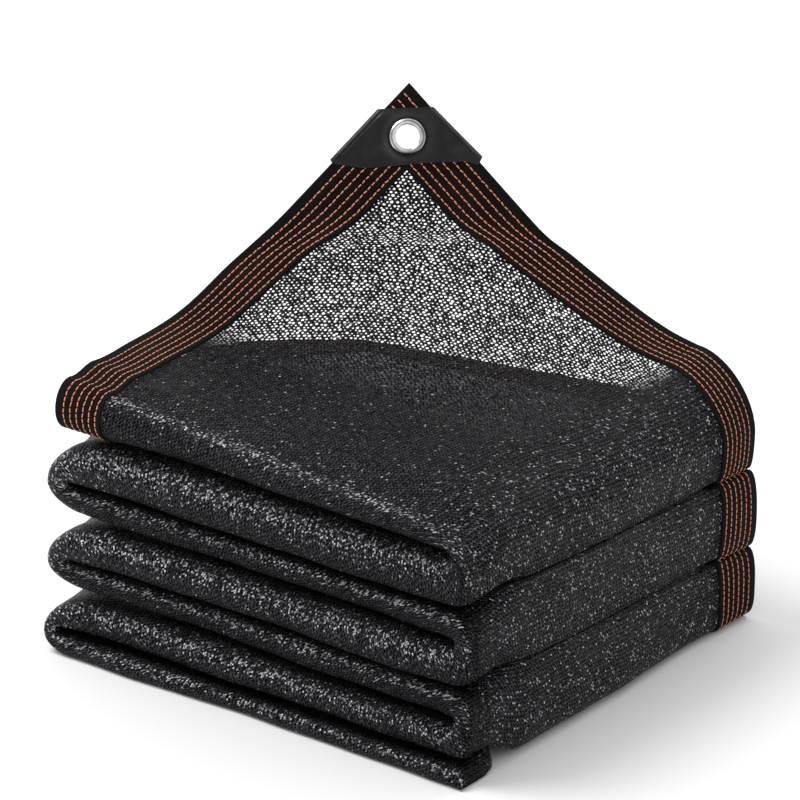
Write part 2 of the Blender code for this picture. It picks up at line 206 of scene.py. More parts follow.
def gap(depth):
    return GAP_FRONT + (GAP_BACK - GAP_FRONT) * smooth((depth - 0.45) / 0.35)


def surface(line, x, depth, below, crown):
    place = min(1.0, max(0.0, (x - LEFT_END_X) / (RIGHT_LEVEL_X - LEFT_END_X)))
    left = level(line, 0, depth, crown)
    height = left + (level(line, 1, depth, crown) - left) * place
    if line == 0:
        return height - CLOTH_THICKNESS / 2
    if line == 7:
        return CLOTH_THICKNESS / 2 + 1.35 * smooth((depth - 0.80) / 0.07)
    half = (gap(depth) + CLOTH_THICKNESS) / 2
    return height - half if below else height + half


def quarter(share, power):
    angle = share * math.pi / 2
    return max(0.0, math.sin(angle)) ** (2 / power), max(0.0, math.cos(angle)) ** (2 / power)


INNER_RUN = (0.0, 0.62, 1.0, 1.0, 1.0, 1.0, 1.0, 0.62, 0.0)
INNER_ANGLE = (0.0, 0.0, 0.0, 45.0, 90.0, 135.0, 180.0, 180.0, 180.0)


def turn_points(index, depth, step, crown):
    _, side, nose, share_f, share_b, up_f, up_b, down, crevice, power_f, power_b, power_down = TURNS[index]
    power_up = power_f + (power_b - power_f) * depth
    up = up_f + (up_b - up_f) * depth
    lift_up = lift_down = 0.0
    up_from, down_from = up, down
    if side > 0:
        # The right-hand turns lie close on each other, with a shallow valley between them behind the front corner.
        nose = nose - 4.0 * smooth((depth - 0.3) / 0.6)
        closed = smooth((depth - 0.02) / 0.20)
        valley = nose - 2.5 - 3.5 * smooth((depth - 0.35) / 0.5)
        clear = 0.25 + 1.55 * smooth((depth - 0.76) / 0.10)
        lift = max(0.0, (gap(depth) + CLOTH_THICKNESS) / 2 - clear) * closed
        if index > 0:
            power_up += (2.3 - power_up) * closed
            up_from += (valley - up) * closed
            lift_up = lift
        if index < 4:
            power_down += (2.3 - power_down) * closed
            down_from += (valley - down) * closed
            lift_down = lift
    top = surface(index, up, depth, True, crown)
    bottom = surface(index + 2, down, depth, False, crown)
    if index == 4:
        bottom += (DROOP_TO - bottom) * smooth((depth - 0.06) / 0.13)
    nose_x = nose - side * CLOTH_THICKNESS / 2
    nose_z = bottom + (top - bottom) * (share_f + (share_b - share_f) * depth)
    if step <= 4:
        across, height = quarter(step / 4, power_up)
        outer = (up_from + (nose_x - up_from) * across, nose_z + (top + lift_up - nose_z) * height)
    else:
        across, height = quarter((8 - step) / 4, power_down)
        outer = (down_from + (nose_x - down_from) * across, nose_z + (bottom - lift_down - nose_z) * height)
    radius = (gap(depth) + CLOTH_THICKNESS) / 2
    low = min(7, int(step))
    part = step - low
    run = INNER_RUN[low] + (INNER_RUN[low + 1] - INNER_RUN[low]) * part
    angle = math.radians(INNER_ANGLE[low] + (INNER_ANGLE[low + 1] - INNER_ANGLE[low]) * part)
    root = crevice - side * radius
    start = side * min(side * (up if step <= 4 else down), side * root - 8)
    x = start + (root - start) * run
    middle = surface(index + 1, x, depth, False, crown) - radius
    return outer, (x + side * radius * math.sin(angle), middle + radius * math.cos(angle))


COVER_COUNT = 68
TURN_COUNT = 34
PASS_COUNT = 52
END_COUNT = 10
LAST_END_FRONT = 179.5
LAST_END_BACK = 141.0
LAST_END_REACH = 14.0
LAST_END_OPEN = 2.6


def station_list():
    """(kind, number, where) of every station along the strip."""
    made = [("pass", 0, i / COVER_COUNT) for i in range(COVER_COUNT)]
    for index in range(6):
        made += [("turn", index, 8 * i / TURN_COUNT) for i in range(TURN_COUNT + 1)]
        made += [("pass", index + 1, i / PASS_COUNT) for i in range(1, PASS_COUNT)]
    return made + [("end", 6, i / END_COUNT) for i in range(END_COUNT + 1)]


STATIONS = station_list()


def leaves_at(depth):
    crown = through(LEFT_CROWN, depth)
    leaf_a, leaf_b = [], []
    last_end = LAST_END_FRONT + (LAST_END_BACK - LAST_END_FRONT) * smooth((depth - 0.06) / 0.16)

    def turn_start(index, lower):
        return TURNS[index][7] if lower else TURNS[index][5] + (TURNS[index][6] - TURNS[index][5]) * depth

    for kind, number, where in STATIONS:
        if kind == "turn":
            outer, inner = turn_points(number, depth, where, crown)
            leaf_a.append(outer if number % 2 == 0 else inner)
            leaf_b.append(inner if number % 2 == 0 else outer)
        elif kind == "pass":
            begin = LEFT_END_X if number == 0 else turn_start(number - 1, True)
            finish = turn_start(number, False) if number < 6 else last_end - LAST_END_REACH
            x = begin + (finish - begin) * where
            upper = (x, surface(number, x, depth, True, crown))
            lower = (x, surface(number + 1, x, depth, False, crown))
            leaf_a.append(upper if number % 2 == 0 else lower)
            leaf_b.append(lower if number % 2 == 0 else upper)
        else:
            top = surface(6, last_end - LAST_END_REACH, depth, True, crown)
            bottom = surface(7, last_end, depth, False, crown)
            across, height = quarter(where, 2.4)
            x = last_end - LAST_END_REACH * (1 - across)
            low = bottom + LAST_END_OPEN
            leaf_a.append((x, low + (top - low) * height))
            leaf_b.append((x - 1.5, surface(7, x, depth, False, crown)))
    return np.array(leaf_a), np.array(leaf_b)


def setbacks():
    values = []
    for kind, number, where in STATIONS:
        if kind == "turn":
            here, after = LEVELS[number][5], LEVELS[number + 1][5]
            values.append(here + (after - here) * smooth(where / 8))
        else:
            values.append(LEVELS[number][5])
    return np.array(values)


def raise_row(points, depth):
    """Moves the top leaf's stations of one row towards the raised corner."""
    if depth <= 0:
        return
    crown = 1.0
    reach = RAISED_TO_X - LEFT_END_X
    corner_flat = np.array((LEFT_END_X, FRONT_Y + DEPTH, surface(0, LEFT_END_X, 1.0, True, crown)))
    corner = PEAK - corner_flat
    side_pull = through(LEFT_EDGE, depth) - np.array(
        (LEFT_END_X, FRONT_Y + DEPTH * max(depth, LEFT_EDGE[0][0]), surface(0, LEFT_END_X, max(depth, LEFT_EDGE[0][0]), True, crown))
    )
    side_pull = side_pull * smooth(depth / FOLD_JOIN_A)
    back = smooth((depth - LEFT_EDGE[0][0]) / (1 - LEFT_EDGE[0][0])) * 0.5 + 0.5 * depth * depth
    back *= smooth(depth / FOLD_JOIN_A)
    for i in range(COVER_COUNT):
        share = i / COVER_COUNT
        by_x = (points[i][0] - LEFT_END_X) / reach
        along = by_x + (share - by_x) * smooth((share - 0.5) / 0.5)
        back_pull = through(BACK_EDGE, along) - np.array(
            (LEFT_END_X + reach * along, FRONT_Y + DEPTH, surface(0, LEFT_END_X + reach * along, 1.0, True, crown))
        )
        across = 1 - along
        lifted = points[i] + side_pull * across + back_pull * back - corner * (across * back)
        from_back = (1 - depth) * DEPTH
        from_left = along * reach
        plane = PEAK + PEAK_LEFT * from_back + PEAK_RIGHT * from_left
        weight = 1 - smooth((from_back + from_left - FLAT_REACH) / FLAT_FADE)
        points[i] = lifted + (plane - lifted) * weight


# Shares of the depth on leaf A from its open edge to the fold, angles round the fold, and shares back on leaf B.
ROWS_A = np.concatenate((np.linspace(1, 0.88, 11), np.linspace(0.88, FOLD_JOIN_A, 50)[1:], np.linspace(FOLD_JOIN_A, 0, 11)[1:]))
ROWS_FOLD = np.linspace(0, 180, 27)[1:-1]
ROWS_B = np.concatenate((np.linspace(0, FOLD_JOIN_B, 9), np.linspace(FOLD_JOIN_B, 0.88, 32)[1:], np.linspace(0.88, 1, 7)[1:]))


def fronts():
    """For each station: share of the way from leaf A to leaf B of the foremost line, and the reach on each leaf's side."""
    made = []
    for kind, number, where in STATIONS:
        rows = []
        for n in (number, number + 1) if kind == "turn" else (number, number):
            _, share, above, below = FRONTS[n]
            rows.append((share, above, below) if n % 2 == 0 else (1 - share, below, above))
        turned = smooth(where / 8) if kind == "turn" else 0.0
        row = np.array(rows[0]) * (1 - turned) + np.array(rows[1]) * turned
        made.append((*row, math.sin(math.pi * where / 8) if kind == "turn" else 0.0))
    return np.array(made).T


def sheet_grid():
    front_a, front_b = leaves_at(0.0)
    share, reach_a, reach_b, turning = fronts()
    nose_y = FRONT_Y + setbacks() + CLOTH_THICKNESS / 2
    nose_y -= FRONT_SKEW * smooth_all(((front_a[:, 0] + front_b[:, 0]) / 2 + 60) / 220)
    square = 1.0 - 0.40 * turning
    grid = []

    def leaf_row(points, depth, join, fold_y):
        y = np.full(len(points), FRONT_Y + DEPTH * depth)
        if depth < join:
            part = depth / join
            y = fold_y + (FRONT_Y + DEPTH * join - fold_y) * part
        return np.stack((points[:, 0], y, points[:, 1]), axis=1)

    for depth in ROWS_A:
        row = leaf_row(leaves_at(depth)[0], depth, FOLD_JOIN_A, nose_y + reach_a)
        raise_row(row, depth)
        grid.append(row)
    for angle in np.radians(ROWS_FOLD):
        bow = math.sin(angle) ** square
        flat = abs(math.cos(angle)) ** square
        if angle <= math.pi / 2:
            part = share * (1 - flat)
            y = nose_y + reach_a * (1 - bow)
        else:
            part = share + (1 - share) * flat
            y = nose_y + reach_b * (1 - bow)
        middle = front_a + (front_b - front_a) * part[:, None]
        grid.append(np.stack((middle[:, 0], y, middle[:, 1]), axis=1))
    for depth in ROWS_B:
        grid.append(leaf_row(leaves_at(depth)[1], depth, FOLD_JOIN_B, nose_y + reach_b))
    return np.array(grid)


def grid_normals(grid):
    along = np.empty_like(grid)
    along[:, 1:-1] = grid[:, 2:] - grid[:, :-2]
    along[:, 0] = grid[:, 1] - grid[:, 0]
    along[:, -1] = grid[:, -1] - grid[:, -2]
    across = np.empty_like(grid)
    across[1:-1] = grid[2:] - grid[:-2]
    across[0] = grid[1] - grid[0]
    across[-1] = grid[-1] - grid[-2]
    normals = np.cross(across, along)
    return normals / np.maximum(np.linalg.norm(normals, axis=2, keepdims=True), 1e-9)


GRID = sheet_grid()
NORMALS = grid_normals(GRID)
COUNT_A = len(ROWS_A)
COUNT_FOLD = len(ROWS_FOLD)
ROW_COUNT, STATION_COUNT = GRID.shape[:2]


def first_station(kind, number):
    return next(i for i, row in enumerate(STATIONS) if row[:2] == (kind, number))


def undulate():
    """Small unevenness along the normals: creases of the top leaf, soft waves of the folds and turns."""
    rise = np.zeros((ROW_COUNT, STATION_COUNT))
    cover = np.arange(COVER_COUNT)
    flat_x = cover / COVER_COUNT * (RAISED_TO_X - LEFT_END_X)
    for r in range(COUNT_A):
        y = ROWS_A[r] * DEPTH
        for x0, d0, x1, d1, height, half in TOP_CREASES:
            ax, ay = x0 * 302, d0 * DEPTH
            bx, by = x1 * 302, d1 * DEPTH
            length = math.hypot(bx - ax, by - ay)
            tx, ty = (bx - ax) / length, (by - ay) / length
            run = ((flat_x - ax) * tx + (y - ay) * ty) / length
            off = -(flat_x - ax) * ty + (y - ay) * tx
            fade = smooth_all(run * 3 + 0.4) * smooth_all((1 - run) * 3 + 0.4)
            rise[r, :COVER_COUNT] += height * fade * np.exp(-((off / half) ** 2))
    edge = smooth_all((1 - ROWS_A) / 0.13)
    rise[:COUNT_A, :COVER_COUNT] *= edge[:, None]
    rise[:COUNT_A, :COVER_COUNT] *= smooth_all((cover / COVER_COUNT - 0.13) / 0.07)[None, :]

    # The front folds: slow waves along X, different for each pass.
    x = GRID[:, :, 0]
    middle = COUNT_A + COUNT_FOLD / 2
    r = np.arange(ROW_COUNT)[:, None]
    near_fold = np.exp(-(((r - middle) / (COUNT_FOLD * 0.55)) ** 2))
    number = np.array([n if kind == "pass" else n + smooth(w / 8) if kind == "turn" else n for kind, n, w in STATIONS])
    wave = (
        0.9 * np.sin(x / 41.0 + 1.7 * number[None, :])
        + 0.6 * np.sin(x / 23.0 + 2.9 * number[None, :] + 1.3)
        + 0.35 * np.sin(x / 11.0 + 0.9 * number[None, :] + 0.4)
    )
    rise += near_fold * wave * 0.9

    # The turns: slow waves along the depth on the outer leaf.
    y = GRID[:, :, 1]
    for index in range(6):
        begin = first_station("turn", index)
        where = np.arange(TURN_COUNT + 1) / TURN_COUNT
        bell = np.sin(where * math.pi) ** 0.8
        rows = slice(0, COUNT_A) if index % 2 == 0 else slice(COUNT_A + COUNT_FOLD, ROW_COUNT)
        part = y[rows, begin : begin + TURN_COUNT + 1]
        swell = (
            1.1 * np.sin(part / 47.0 + 2.1 * index)
            + 0.6 * np.sin(part / 21.0 + where * 2.4 + 1.3 * index)
            + 0.3 * np.sin(part / 9.0 - where * 3.1 + 2.2 * index)
        )
        rise[rows, begin : begin + TURN_COUNT + 1] += bell[None, :] * swell
    return rise


RISE = undulate()
GRID = GRID + NORMALS * RISE[:, :, None]
GRID[:, :, 2] = np.maximum(GRID[:, :, 2], 0.35)
NORMALS = grid_normals(GRID)


def flat_coordinates():
    """Distances along and across the strip, in millimetres: along is even between the middles of the passes."""
    steps = np.linalg.norm(np.diff(GRID, axis=1), axis=2)
    arc = np.concatenate((np.zeros((ROW_COUNT, 1)), np.cumsum(steps, axis=1)), axis=1)
    keys = [first_station("pass", 0) + COVER_COUNT // 2]
    keys += [first_station("pass", n) + PASS_COUNT // 2 for n in range(1, 7)]
    mean = arc.mean(axis=0)
    along = np.empty_like(arc)
    first, last = keys[0], keys[-1]
    along[:, : first + 1] = mean[first] + arc[:, : first + 1] - arc[:, first : first + 1]
    along[:, last:] = mean[last] + arc[:, last:] - arc[:, last : last + 1]
    for lo, hi in zip(keys, keys[1:]):
        share = (arc[:, lo : hi + 1] - arc[:, lo : lo + 1]) / (arc[:, hi : hi + 1] - arc[:, lo : lo + 1])
        along[:, lo : hi + 1] = mean[lo] + share * (mean[hi] - mean[lo])
    steps = np.linalg.norm(np.diff(GRID, axis=0), axis=2)
    across = np.concatenate((np.zeros((1, STATION_COUNT)), np.cumsum(steps, axis=0)), axis=0)
    fold = COUNT_A + COUNT_FOLD // 2
    return along, across - across[fold : fold + 1]


ALONG, ACROSS = flat_coordinates()


def openness():
    """1 where the raised leaf is a single see-through layer, 0 where layers lie on each other."""
    value = np.zeros((ROW_COUNT, STATION_COUNT))
    value[:COUNT_A, :COVER_COUNT] = smooth_all((ROWS_A - 0.30) / 0.12)[:, None]
    for step in range(4):
        value[:COUNT_A, COVER_COUNT + step] = smooth_all((ROWS_A - 0.30) / 0.12) * (1 - step / 4)
    return value


def painted_glints():
    """Share of painted highlight: how many bright glint flecks are painted into the net's colour, most on the shoulders
    of the folds.
    """
    angle = np.concatenate((np.zeros(COUNT_A), ROWS_FOLD, np.full(len(ROWS_B), 180.0)))
    depth = np.concatenate((ROWS_A, np.zeros(COUNT_FOLD), ROWS_B))
    away = np.exp(-((depth / 0.03) ** 2))
    value = np.zeros((ROW_COUNT, STATION_COUNT))
    for i, (kind, number, where) in enumerate(STATIONS):
        turned = smooth(where / 8) if kind == "turn" else 0.0
        for n, part in ((number, 1 - turned), (min(6, number + 1), turned)):
            centre = 22 if n == 0 else 58
            off = (angle - centre) if n % 2 == 0 else (180 - centre - angle)
            value[:, i] += part * 0.95 * np.exp(-((off / 21) ** 2)) * away
        bell = math.sin(math.pi * where / 8) if kind == "turn" else 0.0
        if kind == "turn" and number % 2 == 0:
            value[:COUNT_A, i] += 0.22 * bell
        if kind == "turn" and number % 2 == 1:
            value[COUNT_A:, i] += 0.42 * bell * np.exp(-((depth[COUNT_A:] / 0.10) ** 2))
    return np.clip(value, 0, 1)


def crevice():
    """Painted shade: how far each place of the folded front lies under the pass above it, used to darken the net's
    colour and dim its glints there.
    """
    angle = np.concatenate((np.zeros(COUNT_A), ROWS_FOLD, np.full(len(ROWS_B), 180.0)))
    depth = np.concatenate((ROWS_A, np.zeros(COUNT_FOLD), ROWS_B))
    near = np.exp(-((depth / 0.05) ** 2))
    value = np.zeros((ROW_COUNT, STATION_COUNT))
    for i, (kind, number, where) in enumerate(STATIONS):
        turned = smooth(where / 8) if kind == "turn" else 0.0
        for n, part in ((number, 1 - turned), (min(6, number + 1), turned)):
            up = angle if n % 2 == 0 else 180 - angle
            top = 0.0 if n == 0 else np.exp(-((up / 36) ** 2))
            value[:, i] += part * (top + 0.8 * np.exp(-(((180 - up) / 22) ** 2)))
    return np.clip(value * near[:, None], 0, 1)


OPENNESS = openness()
PAINTED_GLINTS = painted_glints()
PAINTED_CREVICE_SHADE = crevice()

# ---------------------------------------------------------------- meshes


def make_object(name, verts, faces, material, uvs=None, smooth_shade=True, extra=None):
    """verts in millimetres of the solids' own frame; uvs is (vertex uv) or None."""
    data = bpy.data.meshes.new(name)
    data.from_pydata([tuple(v) for v in (np.asarray(verts) + SHIFT) * MM], [], [tuple(f) for f in faces])
    data.validate()
    if uvs is not None:
        layer = data.uv_layers.new(name="flat")
        index = np.empty(len(data.loops), np.int32)
        data.loops.foreach_get("vertex_index", index)
        layer.data.foreach_set("uv", np.asarray(uvs, np.float32)[index].ravel())
    if smooth_shade:
        data.polygons.foreach_set("use_smooth", np.ones(len(data.polygons), bool))
    data.materials.append(material)
    for label, values in (extra or {}).items():
        data.attributes.new(label, "FLOAT", "POINT").data.foreach_set("value", np.asarray(values, np.float32).ravel())
    made = bpy.data.objects.new(name, data)
    bpy.context.scene.collection.objects.link(made)
    return made


def grid_faces(rows, columns, offset=0, flip=False):
    r, c = np.meshgrid(np.arange(rows - 1), np.arange(columns - 1), indexing="ij")
    a = (offset + r * columns + c).ravel()
    quads = np.stack((a, a + columns, a + columns + 1, a + 1), axis=1)
    return quads[:, ::-1] if flip else quads


def sample(row, column):
    """Points and normals of the sheet at fractional rows and columns."""
    row = np.clip(row, 0, ROW_COUNT - 1.000001)
    column = np.clip(column, 0, STATION_COUNT - 1.000001)
    r, c = row.astype(int), column.astype(int)
    fr, fc = (row - r)[..., None], (column - c)[..., None]

    def blend(values):
        return (
            values[r, c] * (1 - fr) * (1 - fc)
            + values[r + 1, c] * fr * (1 - fc)
            + values[r, c + 1] * (1 - fr) * fc
            + values[r + 1, c + 1] * fr * fc
        )

    normal = blend(NORMALS)
    return blend(GRID), normal / np.linalg.norm(normal, axis=-1, keepdims=True)


def row_of_depth(depth, leaf_a=True):
    depth = np.asarray(depth, float)
    if leaf_a:
        return np.interp(-depth, -ROWS_A, np.arange(COUNT_A))
    return np.interp(depth, ROWS_B, COUNT_A + COUNT_FOLD + np.arange(len(ROWS_B)))


# ---------------------------------------------------------------- materials


class Graph:
    """Short names for the nodes of one material."""

    def __init__(self, name, colour, roughness):
        self.material = bpy.data.materials.new(name)
        self.material.use_nodes = True
        self.tree = self.material.node_tree
        self.shader = self.tree.nodes["Principled BSDF"]
        self.shader.inputs["Base Color"].default_value = (*colour, 1)
        self.shader.inputs["Roughness"].default_value = roughness
        self.material.diffuse_color = (*colour, 1)

    def put(self, socket, value):
        if isinstance(value, bpy.types.NodeSocket):
            self.tree.links.new(value, socket)
        else:
            socket.default_value = value

    def math(self, operation, *values, clamp=False):
        node = self.tree.nodes.new("ShaderNodeMath")
        node.operation = operation
        node.use_clamp = clamp
        for socket, value in zip(node.inputs, values):
            self.put(socket, value)
        return node.outputs[0]

    def vector(self, operation, *values):
        node = self.tree.nodes.new("ShaderNodeVectorMath")
        node.operation = operation
        for socket, value in zip(node.inputs, values):
            self.put(socket, value)
        return node.outputs[0]

    def scaled(self, vector, by):
        node = self.tree.nodes.new("ShaderNodeVectorMath")
        node.operation = "SCALE"
        self.put(node.inputs[0], vector)
        self.put(node.inputs["Scale"], by)
        return node.outputs[0]

    def between(self, value, low, high, to_low=0.0, to_high=1.0, soft=True):
        node = self.tree.nodes.new("ShaderNodeMapRange")
        node.interpolation_type = "SMOOTHSTEP" if soft else "LINEAR"
        node.clamp = True
        for socket, item in zip(node.inputs, (value, low, high, to_low, to_high)):
            self.put(socket, item)
        return node.outputs[0]

    def combine(self, x=0.0, y=0.0, z=0.0):
        node = self.tree.nodes.new("ShaderNodeCombineXYZ")
        for socket, value in zip(node.inputs, (x, y, z)):
            self.put(socket, value)
        return node.outputs[0]

    def separate(self, vector):
        node = self.tree.nodes.new("ShaderNodeSeparateXYZ")
        self.put(node.inputs[0], vector)
        return node.outputs

    def uv(self):
        node = self.tree.nodes.new("ShaderNodeUVMap")
        node.uv_map = "flat"
        return self.separate(node.outputs[0])

    def attribute(self, name):
        node = self.tree.nodes.new("ShaderNodeAttribute")
        node.attribute_name = name
        return node.outputs["Fac"]

    def place(self):
        return self.tree.nodes.new("ShaderNodeTexCoord").outputs["Object"]

    def noise(self, vector, scale, detail=2.0, rough=0.5):
        node = self.tree.nodes.new("ShaderNodeTexNoise")
        self.put(node.inputs["Vector"], vector)
        node.inputs["Scale"].default_value = scale
        node.inputs["Detail"].default_value = detail
        node.inputs["Roughness"].default_value = rough
        return node.outputs["Fac"]

    def white(self, vector):
        node = self.tree.nodes.new("ShaderNodeTexWhiteNoise")
        node.noise_dimensions = "3D"
        self.put(node.inputs["Vector"], vector)
        return node.outputs["Value"], node.outputs["Color"]

    def mix(self, share, low, high):
        node = self.tree.nodes.new("ShaderNodeMix")
        node.data_type = "RGBA"
        self.put(node.inputs[0], share)
        for socket, value in ((node.inputs[6], low), (node.inputs[7], high)):
            self.put(socket, value if isinstance(value, bpy.types.NodeSocket) else (*value, 1))
        return node.outputs[2]

    def bump(self, height, distance, strength=1.0, normal=None):
        node = self.tree.nodes.new("ShaderNodeBump")
        node.inputs["Strength"].default_value = strength
        node.inputs["Distance"].default_value = distance
        self.put(node.inputs["Height"], height)
        if normal is not None:
            self.put(node.inputs["Normal"], normal)
        return node.outputs[0]

    def to(self, name, value):
        self.put(self.shader.inputs[name], value)


KNIT_ALONG = 0.00285
KNIT_ACROSS = 0.00300


def knit_material():
    g = Graph("knitted_shade_net", (0.02, 0.02, 0.023), 0.45)
    along, across, _ = g.uv()
    place = g.place()
    drift = g.noise(place, 38.0, 2.0)
    wander = g.math("MULTIPLY", g.math("SUBTRACT", g.noise(place, 160.0, 2.0), 0.5), 0.55)
    u = g.math("ADD", g.math("MULTIPLY", along, 1 / KNIT_ALONG), wander)
    v = g.math("ADD", g.math("MULTIPLY", across, 1 / KNIT_ACROSS), g.math("MULTIPLY", wander, 0.8))

    # One hole in each cell, half a cell further on in every second column.
    column = g.math("FLOOR", u)
    v_step = g.math("ADD", v, g.math("MULTIPLY", g.math("PINGPONG", column, 1.0), 0.5))
    row = g.math("FLOOR", v_step)
    _, chance = g.white(g.combine(column, row, 3.0))
    chance_x, chance_y, chance_z = g.separate(chance)
    off_u = g.math("ADD", g.math("SUBTRACT", g.math("SUBTRACT", u, column), 0.5), g.math("MULTIPLY", g.math("SUBTRACT", chance_x, 0.5), 0.34))
    off_v = g.math("ADD", g.math("SUBTRACT", g.math("SUBTRACT", v_step, row), 0.5), g.math("MULTIPLY", g.math("SUBTRACT", chance_y, 0.5), 0.40))
    far_u = g.math("DIVIDE", off_u, 0.37)
    far_v = g.math("DIVIDE", off_v, 0.36)
    far = g.math("SQRT", g.math("ADD", g.math("MULTIPLY", far_u, far_u), g.math("MULTIPLY", far_v, far_v)))
    size = g.math("ADD", g.math("MULTIPLY", chance_z, 0.60), g.between(drift, 0.35, 0.65, 0.30, 0.38))
    inside = g.math("SUBTRACT", far, size)
    solid = g.between(inside, -0.10, 0.12)

    # The chains wave from side to side; the laid-in threads zigzag between them.
    swing = g.math("MULTIPLY", g.math("SUBTRACT", g.math("PINGPONG", g.math("MULTIPLY", v, 2.0), 1.0), 0.5), 0.46)
    chain = g.math("ABSOLUTE", g.math("SUBTRACT", g.math("FRACT", g.math("ADD", u, swing)), 0.5))
    chain_ridge = g.between(chain, 0.22, 0.5)
    laid = g.math("ABSOLUTE", g.math("SUBTRACT", g.math("FRACT", g.math("ADD", v_step, g.math("MULTIPLY", off_u, 0.9))), 0.5))
    laid_ridge = g.between(laid, 0.24, 0.5)
    ridge = g.math("MAXIMUM", chain_ridge, g.math("MULTIPLY", laid_ridge, 0.75))
    strand = g.noise(g.combine(g.math("MULTIPLY", u, 3.0), g.math("MULTIPLY", v, 1.3), 0.0), 1.0, 2.0, 0.6)
    height = g.math("ADD", g.math("MULTIPLY", ridge, g.math("ADD", 0.6, g.math("MULTIPLY", strand, 0.5))), g.math("MULTIPLY", strand, 0.18))

    # Painted highlight: short bright glints painted into the colour as pale flecks, most on the shoulders of the folds.
    fine_u = g.math("MULTIPLY", u, 2.0)
    fine_v = g.math("ADD", g.math("MULTIPLY", v, 2.0), g.math("MULTIPLY", g.math("FRACT", g.math("MULTIPLY", fine_u, 0.5)), 0.9))
    fine_column, fine_row = g.math("FLOOR", fine_u), g.math("FLOOR", fine_v)
    fleck, tilt = g.white(g.combine(fine_column, fine_row, 7.0))
    near = g.math(
        "MAXIMUM",
        g.math("ABSOLUTE", g.math("SUBTRACT", g.math("SUBTRACT", fine_u, fine_column), 0.5)),
        g.math("ABSOLUTE", g.math("SUBTRACT", g.math("SUBTRACT", fine_v, fine_row), 0.5)),
    )
    glint = g.attribute("painted_glints")
    often = g.math("ADD", fleck, g.math("MULTIPLY", glint, 0.40))
    fleck = g.math("MULTIPLY", g.between(often, 0.965, 0.995), g.between(near, 0.47, 0.30))
    bright = g.math("POWER", g.separate(tilt)[2], 1.6)
    bright = g.math("MULTIPLY", g.math("ADD", 0.10, bright), g.math("ADD", 0.56, g.math("MULTIPLY", glint, 0.42)))
    strength = g.math("MULTIPLY", fleck, bright, clamp=True)

    row_light = g.math("ADD", 0.45, g.math("MULTIPLY", chance_x, 0.95))
    # Darker between the raised threads: painted shade in the knit's hollows. Paler thread crests: partly random tone,
    # partly painted highlight.
    shade = g.mix(g.between(ridge, 0.30, 0.80), (0.0014, 0.0014, 0.0017), (0.027, 0.025, 0.029))
    shade = g.mix(g.math("MULTIPLY", g.between(strand, 0.40, 0.70), g.between(ridge, 0.2, 0.7)), shade, (0.105, 0.098, 0.110))
    # Painted shade: where the layers lie on each other the holes stay opaque and are painted near-black.
    shade = g.mix(g.between(solid, 0.15, 0.85, 0.35, 1.0), (0.0015, 0.0015, 0.0018), shade)
    # Painted shade: the colour is darkened, and the glints dimmed, where the crevice attribute marks a place under the
    # pass above.
    painted_crevice_shade = g.attribute("crevice")
    shade = g.scaled(shade, g.math("MULTIPLY", row_light, g.math("SUBTRACT", 1.0, g.math("MULTIPLY", painted_crevice_shade, 0.50))))
    strength = g.math("MULTIPLY", strength, g.math("SUBTRACT", 1.0, g.math("MULTIPLY", painted_crevice_shade, 0.90), clamp=True))
    # The colour takes the painted glint flecks over the knit's own colour.
    colour = g.mix(strength, shade, (0.80, 0.80, 0.84))
    g.to("Base Color", colour)
    g.to("Metallic", g.between(ridge, 0.2, 0.8, 0.0, 0.45))
    g.to("Roughness", g.between(strand, 0.2, 0.8, 0.42, 0.26))
    g.shader.inputs["Specular IOR Level"].default_value = 0.035
    bumped = g.bump(height, 0.00075, 1.0)
    turned = g.vector("ADD", bumped, g.scaled(g.vector("SUBTRACT", tilt, (0.5, 0.5, 0.5)), 0.55))
    g.to("Normal", g.vector("NORMALIZE", turned))
    g.to("Alpha", g.math("MAXIMUM", solid, g.math("SUBTRACT", 1.0, g.attribute("open"))))
    return g.material


def binding_material():
    """Woven polyester: fine ribs across the tape, black at both margins."""
    g = Graph("woven_binding", (0.03, 0.02, 0.017), 0.7)
    along, across, _ = g.uv()
    place = g.place()
    share = g.math("DIVIDE", across, BINDING_WIDTH * MM)
    rib = g.math("ABSOLUTE", g.math("SUBTRACT", g.math("FRACT", g.math("MULTIPLY", along, 1 / 0.00105)), 0.5))
    cord = g.math("ABSOLUTE", g.math("SUBTRACT", g.math("FRACT", g.math("MULTIPLY", across, 1 / 0.00095)), 0.5))
    weave = g.math("ADD", g.between(rib, 0.1, 0.5, 0.0, 0.6), g.between(cord, 0.1, 0.5, 0.0, 0.5))
    fuzz = g.noise(place, 900.0, 3.0, 0.7)
    worn = g.noise(place, 24.0, 2.0)
    field = g.math("MULTIPLY", g.between(share, 0.11, 0.16), g.between(share, 0.94, 0.90))
    margin = g.mix(fuzz, (0.004, 0.0035, 0.0035), (0.013, 0.011, 0.010))
    middle = g.mix(g.math("MULTIPLY", weave, fuzz), (0.004, 0.0024, 0.0022), (0.030, 0.016, 0.013))
    middle = g.mix(g.between(worn, 0.4, 0.7, 0.0, 0.35), middle, (0.020, 0.011, 0.009))
    g.to("Base Color", g.mix(field, margin, middle))
    g.to("Roughness", g.between(fuzz, 0.3, 0.7, 0.62, 0.85))
    g.shader.inputs["Specular IOR Level"].default_value = 0.03
    g.to("Normal", g.bump(g.math("ADD", weave, g.math("MULTIPLY", fuzz, 0.5)), 0.00022, 0.9))
    return g.material


def thread_material():
    g = Graph("salmon_thread", (0.62, 0.23, 0.13), 0.5)
    place = g.place()
    ply = g.noise(place, 1500.0, 2.0, 0.6)
    shade = g.noise(place, 60.0, 2.0)
    low = g.mix(shade, (0.42, 0.13, 0.075), (0.62, 0.23, 0.14))
    g.to("Base Color", g.mix(g.between(ply, 0.35, 0.7), low, (0.80, 0.36, 0.24)))
    g.to("Roughness", g.between(ply, 0.3, 0.7, 0.42, 0.62))
    g.shader.inputs["Sheen Weight"].default_value = 0.15
    g.to("Normal", g.bump(ply, 0.0001, 0.8))
    return g.material


